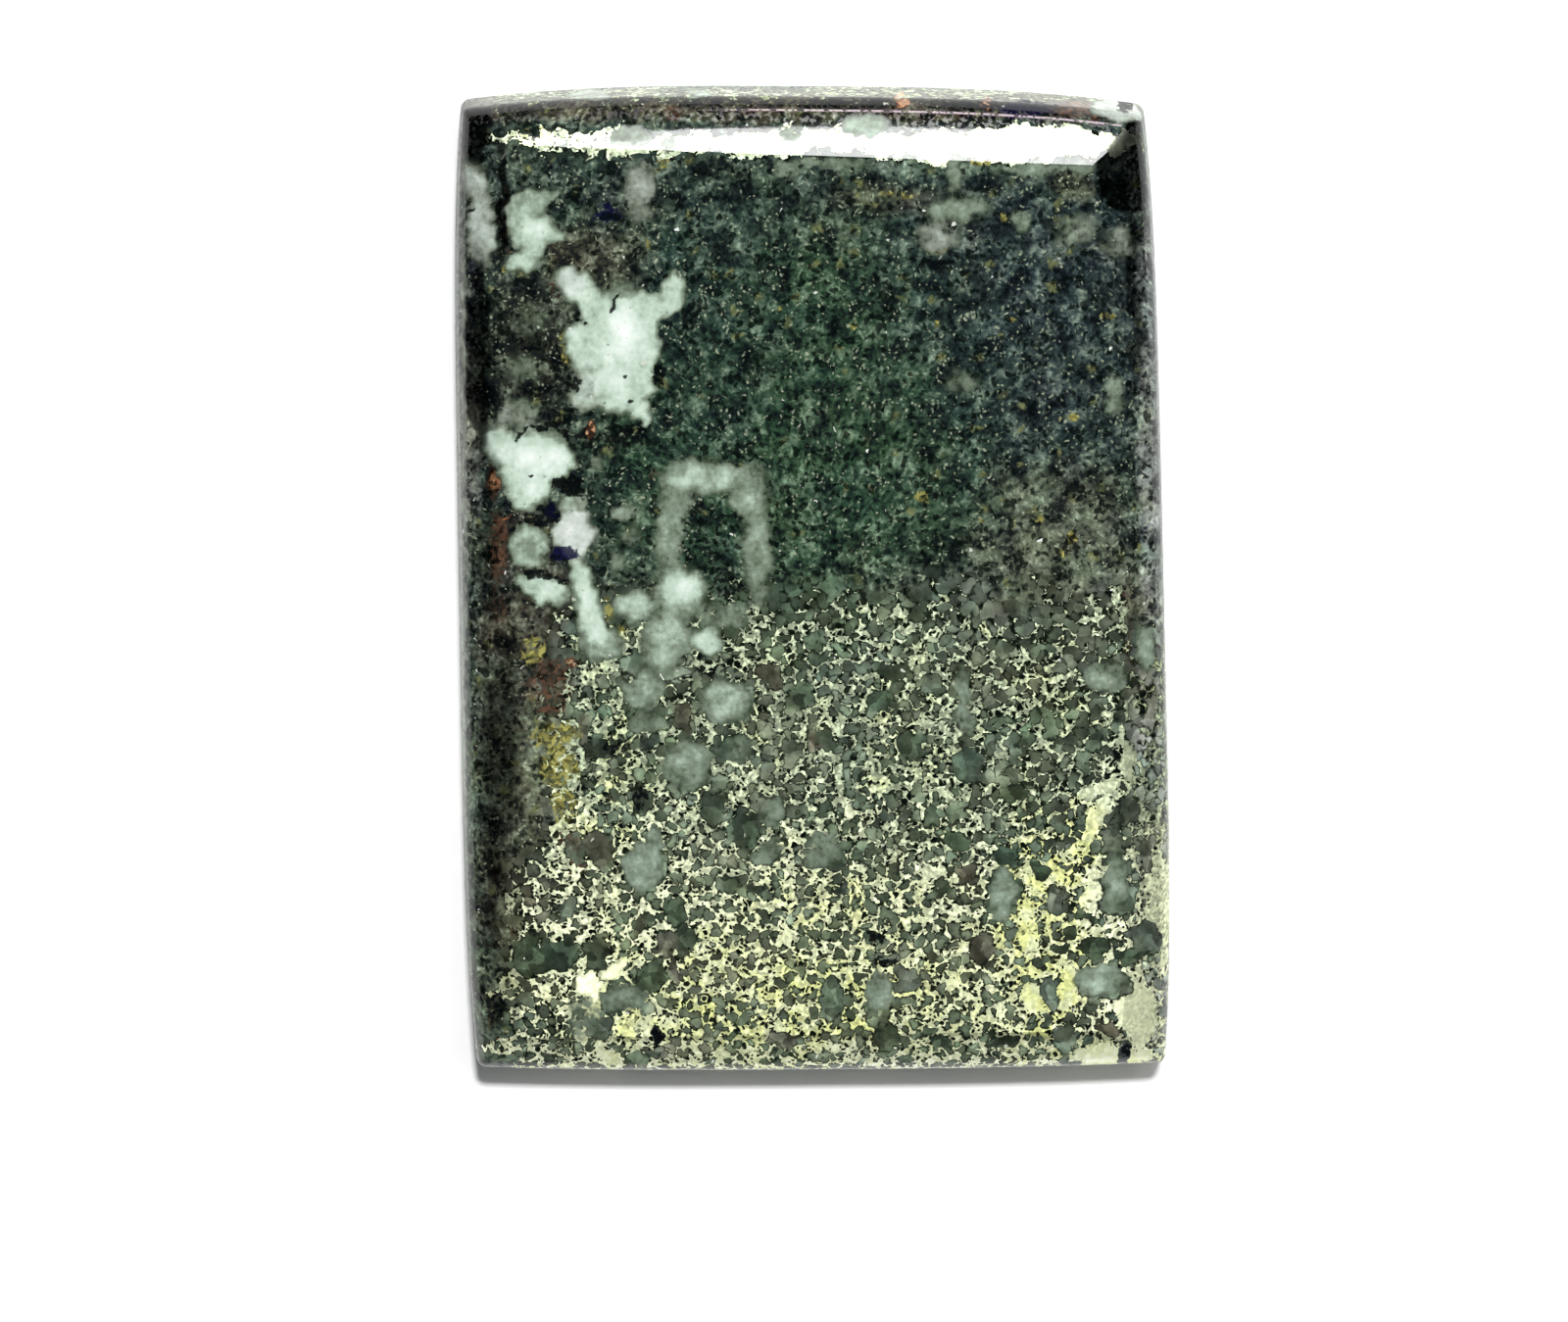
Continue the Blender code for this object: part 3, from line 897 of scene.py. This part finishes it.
def swing(place, scale, detail, roughness):
    """Smooth noise: three draws that swing about a half, and the colour that holds them."""
    sockets = {"Vector": place, "Scale": scale, "Detail": detail, "Roughness": roughness}
    colour = add_node("TexNoise", sockets, noise_dimensions="2D").outputs["Color"]
    draws = add_node("SeparateColor", {"Color": colour})
    return draws.outputs[0], draws.outputs[1], draws.outputs[2], colour


def bent(place, scale, reach):
    """The place moved about by smooth noise, some reach millimetres each way."""
    colour = swing(place, scale, 1.0, 0.5)[3]
    moved = add_node("VectorMath", {0: colour, 1: (0.5, 0.5, 0.5)}, operation="SUBTRACT").outputs[0]
    moved = shaded(moved, reach * 4)
    return add_node("VectorMath", {0: place, 1: moved}, operation="ADD").outputs[0]


def grains(place, per_millimetre):
    """Scattered grains: distance to the nearest middle in millimetres, and its three draws."""
    node = add_node("TexVoronoi", {"Vector": place, "Scale": per_millimetre}, voronoi_dimensions="2D")
    draws = add_node("SeparateColor", {"Color": node.outputs["Color"]})
    distance = calc("DIVIDE", node.outputs["Distance"], per_millimetre)
    return distance, draws.outputs[0], draws.outputs[1], draws.outputs[2]


def seen(red, green, blue):
    return (*linear_colour((red, green, blue)), 1.0)


place = add_node("Attribute", {}, attribute_name="skin_place").outputs["Vector"]
swayed_place = bent(place, 2.2, 0.07)
ragged_place = bent(swayed_place, 7.0, 0.04)
speck, speck_a, speck_b, speck_c = grains(ragged_place, 4.6)
crumb, crumb_a, crumb_b, crumb_c = grains(swayed_place, 8.5)
middle, middle_a, middle_b, middle_c = grains(bent(bent(place, 1.8, 0.12), 6.0, 0.025), 2.5)
cloud_a, cloud_b, cloud_c, cloud_colour = swing(place, 1.4, 3.0, 0.55)
fine_a, fine_b, fine_c, fine_colour = swing(place, 5.5, 1.0, 0.5)

# The dark rock: soft patches, with black specks, pale flecks and a few olive blobs
tint = add_node("Attribute", {}, attribute_name="rock_tint").outputs["Color"]
soft_tone = painted("soft_tone")
stops_up = plus(times(soft_tone, 1.7), times(calc("SUBTRACT", cloud_a, 0.5), 6.0))
stops_up = calc("MINIMUM", stops_up, 1.3)
crumb_tone = plus(fade(crumb_a, 0.0, 1.0, -0.8, 0.5), times(calc("SUBTRACT", fine_a, 0.5), 3.2))
crumb_tone = plus(crumb_tone, fade(speck_c, 0.0, 1.0, -0.6, 0.5))
rock_stops = plus(stops_up, crumb_tone)
rock_power = calc("POWER", 2.0, rock_stops)
rock = shaded(tint, rock_power)
rock = laid_over(fade(rock_stops, -0.3, 1.6, 0.0, 0.55), rock, shaded(seen(67, 74, 63)[:3], rock_power))
rock = laid_over(fade(rock_stops, -0.4, -2.0, 0.0, 0.6), rock, shaded(seen(52, 64, 72)[:3], rock_power))
olive_blob = times(fade(middle_b, 0.93, 0.97), fade(middle, 0.22, 0.06))
rock = laid_over(times(olive_blob, 0.7), rock, laid_over(crumb_b, seen(70, 76, 46), seen(146, 152, 100)))
fleck_share = fade(plus(crumb_c, times(calc("SUBTRACT", cloud_b, 0.5), 1.2)), 0.80, 0.97)
pale_fleck = times(fleck_share, fade(crumb, 0.06, 0.025))
rock = laid_over(times(pale_fleck, 0.8), rock, laid_over(crumb_b, seen(92, 112, 92), seen(186, 196, 166)))
speck_size = fade(plus(speck_a, calc("SUBTRACT", cloud_c, 0.5)), 0.35, 1.0, -0.04, 0.13)
black_speck = fade(calc("SUBTRACT", speck, speck_size), 0.02, -0.03)

# Stains of rust and ochre
ochre = fade(times(painted("ochre"), plus(crumb_c, 0.5)), 0.35, 0.9)
ochre_colour = laid_over(crumb_b, seen(78, 78, 40), seen(184, 180, 104))
rust_field = painted("rust")
rust = fade(times(rust_field, plus(times(crumb_c, 0.8), 0.6)), 0.3, 1.1)
rust_colour = laid_over(crumb_b, seen(27, 17, 14), seen(112, 84, 66))
orange_colour = laid_over(crumb_b, seen(172, 104, 62), seen(228, 184, 146))
rust_colour = laid_over(fade(rust_field, 1.05, 1.4), rust_colour, orange_colour)

# Grains that the silver runs round, and how far a point lies outside the nearest of them
silver = painted("silver")
rich = plus(silver, times(calc("SUBTRACT", cloud_a, 0.5), 0.45))
middle_size = plus(fade(middle_a, 0.0, 1.0, 0.10, 0.245), times(calc("SUBTRACT", rich, 0.9), -0.14))
middle_gap = plus(calc("SUBTRACT", middle, middle_size), times(fade(silver, 1.08, 1.32), 0.5))
placed_gap = times(calc("SUBTRACT", 0.5, painted("smooth_grain")), 0.35)
big_gap = plus(calc("MINIMUM", middle_gap, placed_gap), times(calc("SUBTRACT", fine_b, 0.5), 0.16))
pit_size = plus(fade(speck_b, 0.0, 1.0, -0.01, 0.105), times(calc("SUBTRACT", rich, 0.9), -0.12))
pit_size = plus(pit_size, fade(silver, 1.3, 1.5, 0.0, -0.04))
pit_gap = calc("SUBTRACT", speck, pit_size)
laced = fade(silver, 0.03, 0.15)
in_grain = times(fade(big_gap, 0.01, -0.03), laced)
crumb_pit = times(fade(crumb_c, 0.74, 0.80), fade(crumb, 0.06, 0.04))
crumb_pit = times(crumb_pit, fade(silver, 1.6, 1.3))
metal = calc("MINIMUM", fade(big_gap, -0.012, 0.016), fade(pit_gap, -0.012, 0.012))
metal = times(times(metal, laced), calc("SUBTRACT", 1.0, crumb_pit))

# Inside those grains the rock is smooth, each of its own tone
smooth_tone = plus(times(calc("SUBTRACT", cloud_b, 0.5), 4.0), fade(middle_c, 0.0, 1.0, -1.0, 0.7))
smooth_rock = shaded(tint, calc("POWER", 2.0, smooth_tone))
rock = laid_over(times(in_grain, 0.9), rock, smooth_rock)
rim = times(fade(big_gap, -0.085, -0.025), laced)
rock = laid_over(times(rim, 0.85), rock, seen(19, 27, 18))
pit = times(times(fade(big_gap, -0.01, 0.02), laced), fade(speck_c, 0.45, 0.6, 1.0, 0.6))
rock = laid_over(times(pit, 0.9), rock, seen(14, 21, 13))
rock = laid_over(rust, laid_over(ochre, rock, ochre_colour), rust_colour)

# White quartz, cloudy within and ragged along its edge
white = painted("white_quartz")
frayed = plus(times(calc("SUBTRACT", fine_c, 0.5), 0.7), times(calc("SUBTRACT", cloud_a, 0.5), 1.2))
edge = times(white, calc("SUBTRACT", 1.3, white))
white = plus(white, times(edge, frayed))
cloudiness = times(calc("SUBTRACT", cloud_b, 0.5), 0.5)
quartz_ramp = add_node("ValToRGB", {"Fac": plus(times(white, 0.76), cloudiness)})
ramp_stops = quartz_ramp.color_ramp.elements
ramp_stops[0].position = 0.14
ramp_stops[0].color = seen(64, 77, 61)
ramp_stops[1].position = 1.0
ramp_stops[1].color = seen(262, 270, 262)
for position, colour in ((0.28, (109, 122, 104)), (0.44, (146, 162, 143)), (0.62, (192, 214, 194)),
                         (0.80, (226, 244, 228))):
    ramp_stops.new(position).color = seen(*colour)
quartz_colour = quartz_ramp.outputs["Color"]
pinker = add_node("VectorMath", {0: quartz_colour, 1: (1.10, 0.98, 1.08)}, operation="MULTIPLY").outputs[0]
quartz_colour = laid_over(painted("pink_quartz"), quartz_colour, pinker)
stone_colour = laid_over(fade(white, 0.08, 0.42), rock, quartz_colour)

# Black and navy rock and black specks over both
black = fade(plus(painted("black_rock"), times(calc("SUBTRACT", fine_a, 0.5), 1.5)), 0.30, 0.75)
black_colour = laid_over(painted("navy_rock"), seen(6, 9, 13), seen(16, 14, 60))
stone_colour = laid_over(times(black, 0.94), stone_colour, black_colour)
speck_share = times(black_speck, fade(white, 0.5, 0.2))
speck_share = times(speck_share, fade(in_grain, 0.0, 1.0, 1.0, 0.15))
stone_colour = laid_over(times(speck_share, 0.85), stone_colour, seen(8, 16, 14))

# The silver, a mass of tiny grains, dull high up and brighter and yellower lower down
shine = plus(painted("silver_shine"), fade(silver, 1.4, 1.8, 0.0, 0.5))
silver_stops = plus(fade(crumb_b, 0.0, 1.0, -0.9, 0.6), times(calc("SUBTRACT", fine_c, 0.5), 2.0))
silver_stops = plus(silver_stops, fade(crumb, 0.04, 0.10, 0.15, -0.6))
silver_stops = times(silver_stops, fade(shine, 0.2, 1.2, 1.0, 0.5))
silver_stops = times(silver_stops, fade(silver, 1.3, 1.5, 1.0, 0.55))
silver_stops = plus(silver_stops, fade(silver, 1.5, 1.85, 0.0, 0.7))
silver_colour = laid_over(fade(shine, 0.0, 1.0), seen(160, 172, 142), seen(223, 230, 190))
gold_share = times(painted("yellow_silver"), fade(cloud_c, 0.40, 0.58, 0.3, 1.0))
silver_colour = laid_over(gold_share, silver_colour, seen(217, 223, 148))
silver_colour = shaded(silver_colour, times(calc("POWER", 2.0, silver_stops), 1.44))
clear_of_quartz = fade(white, 0.40, 0.22)
cover = times(metal, clear_of_quartz)
stone_colour = laid_over(cover, stone_colour, silver_colour)

# Glints: painted highlights, small pale sparkles laid into the colour
glint, glint_a, glint_b, glint_c = grains(ragged_place, 1.7)
glint_share = times(fade(plus(glint, times(glint_c, 0.04)), 0.07, 0.045), fade(glint_a, 0.11, 0.09))
glint_colour = laid_over(glint_b, seen(250, 255, 250), seen(150, 150, 110))
stone_colour = laid_over(glint_share, stone_colour, glint_colour)

# The sides: painted shade on the long bevels, painted light at the foot, frosted ground walls
stone_colour = shaded(stone_colour, fade(painted("deep_shade"), 0.0, 1.0, 1.0, 0.08))
stone_colour = shaded(stone_colour, fade(painted("painted_light_edge"), 0.0, 1.0, 1.0, 1.75))
object_place = add_node("TexCoord", {}).outputs["Object"]
height = add_node("SeparateXYZ", {"Vector": object_place}).outputs[2]
ground = fade(height, 2.90 * MM, 2.75 * MM)
frost = plus(fade(black, 0.0, 1.0, 0.30, 0.04), times(calc("SUBTRACT", fine_b, 0.5), 0.8))
frosted = shaded(laid_over(frost, stone_colour, (0.44, 0.45, 0.42, 1)), 2.2)
stone_colour = laid_over(ground, stone_colour, frosted)

stone_shader = stone_tree.nodes["Principled BSDF"]
stone_tree.links.new(stone_colour, stone_shader.inputs["Base Color"])
stone_tree.links.new(times(cover, 0.6), stone_shader.inputs["Metallic"])
polish = fade(cover, 0.0, 1.0, 0.06, 0.42)
worn_edge = times(fade(height, 3.75 * MM, 3.60 * MM), fade(fine_a, 0.50, 0.60, 0.0, 0.35))
polish = calc("MAXIMUM", polish, worn_edge)
polish = calc("MAXIMUM", polish, times(painted("dull_patch"), 0.6))
roughness = calc("MAXIMUM", polish, times(ground, 0.65))
stone_tree.links.new(roughness, stone_shader.inputs["Roughness"])
stone_shader.inputs["IOR"].default_value = 1.54
relief = plus(times(frayed, 0.2), times(cover, -0.5))
relief_node = add_node("Bump", {"Strength": 0.25, "Distance": 0.02 * MM, "Height": relief})
stone_tree.links.new(relief_node.outputs["Normal"], stone_shader.inputs["Normal"])

cabochon = bpy.data.objects.new("cabochon_polished", stone_mesh)
bpy.context.scene.collection.objects.link(cabochon)
stone_mesh.materials.append(stone_finish)
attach(cabochon, "root")
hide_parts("cabochon")

# The floor
# A plain white sheet, lit so strongly that only the deepest shadow on it is not white.
floor_shape = bmesh.new()
bmesh.ops.create_grid(floor_shape, x_segments=1, y_segments=1, size=2.0)
floor_mesh = bpy.data.meshes.new("floor")
floor_shape.to_mesh(floor_mesh)
floor_shape.free()
white_sheet = bpy.data.materials.new("white_sheet")
white_sheet.use_nodes = True
sheet_shader = white_sheet.node_tree.nodes["Principled BSDF"]
sheet_shader.inputs["Base Color"].default_value = (0.8, 0.8, 0.8, 1)
sheet_shader.inputs["Roughness"].default_value = 0.9
sheet_shader.inputs["Specular IOR Level"].default_value = 0.0
floor_mesh.materials.append(white_sheet)
floor = bpy.data.objects.new("floor", floor_mesh)
bpy.context.scene.collection.objects.link(floor)

# The light
# A small strong lamp above the stone's top end throws the short crisp shadow at its foot. A
# wide panel shows as the white band in the top bevel, and a soft lamp shades the left side.


def add_lamp(name, off_zenith, heading, distance, width, height, radiance):
    """A rectangular lamp aimed at the stone, placed by its angles in degrees."""
    lean = math.radians(off_zenith)
    turn = math.radians(heading)
    direction = Vector((math.sin(lean) * math.cos(turn), math.sin(lean) * math.sin(turn), math.cos(lean)))
    data = bpy.data.lights.new(name, "AREA")
    data.shape = "RECTANGLE"
    data.size = width
    data.size_y = height
    data.energy = radiance * math.pi * width * height
    lamp = bpy.data.objects.new(name, data)
    lamp.location = direction * distance
    lamp.rotation_euler = direction.to_track_quat("Z", "Y").to_euler()
    bpy.context.scene.collection.objects.link(lamp)
    return lamp


add_lamp("lamp", 21.5, 82, 0.9, 0.08, 0.06, 610)
panel = add_lamp("panel", 30.5, 79, 0.8, 0.66, 0.23, 15)
panel.visible_diffuse = False
rose_strip = add_lamp("rose_strip", 65, 84.5, 0.8, 0.14, 0.11, 15)
rose_strip.visible_diffuse = False
rose_strip.data.color = (1.0, 0.82, 0.9)
soft_lamp = add_lamp("soft_lamp", 28, 36, 0.8, 0.4, 0.4, 3.6)
soft_lamp.visible_glossy = False

world = bpy.data.worlds.new("dim_room")
world.use_nodes = True
world.node_tree.nodes["Background"].inputs["Color"].default_value = (0.09, 0.094, 0.098, 1)
world.cycles_visibility.glossy = False
bpy.context.scene.world = world
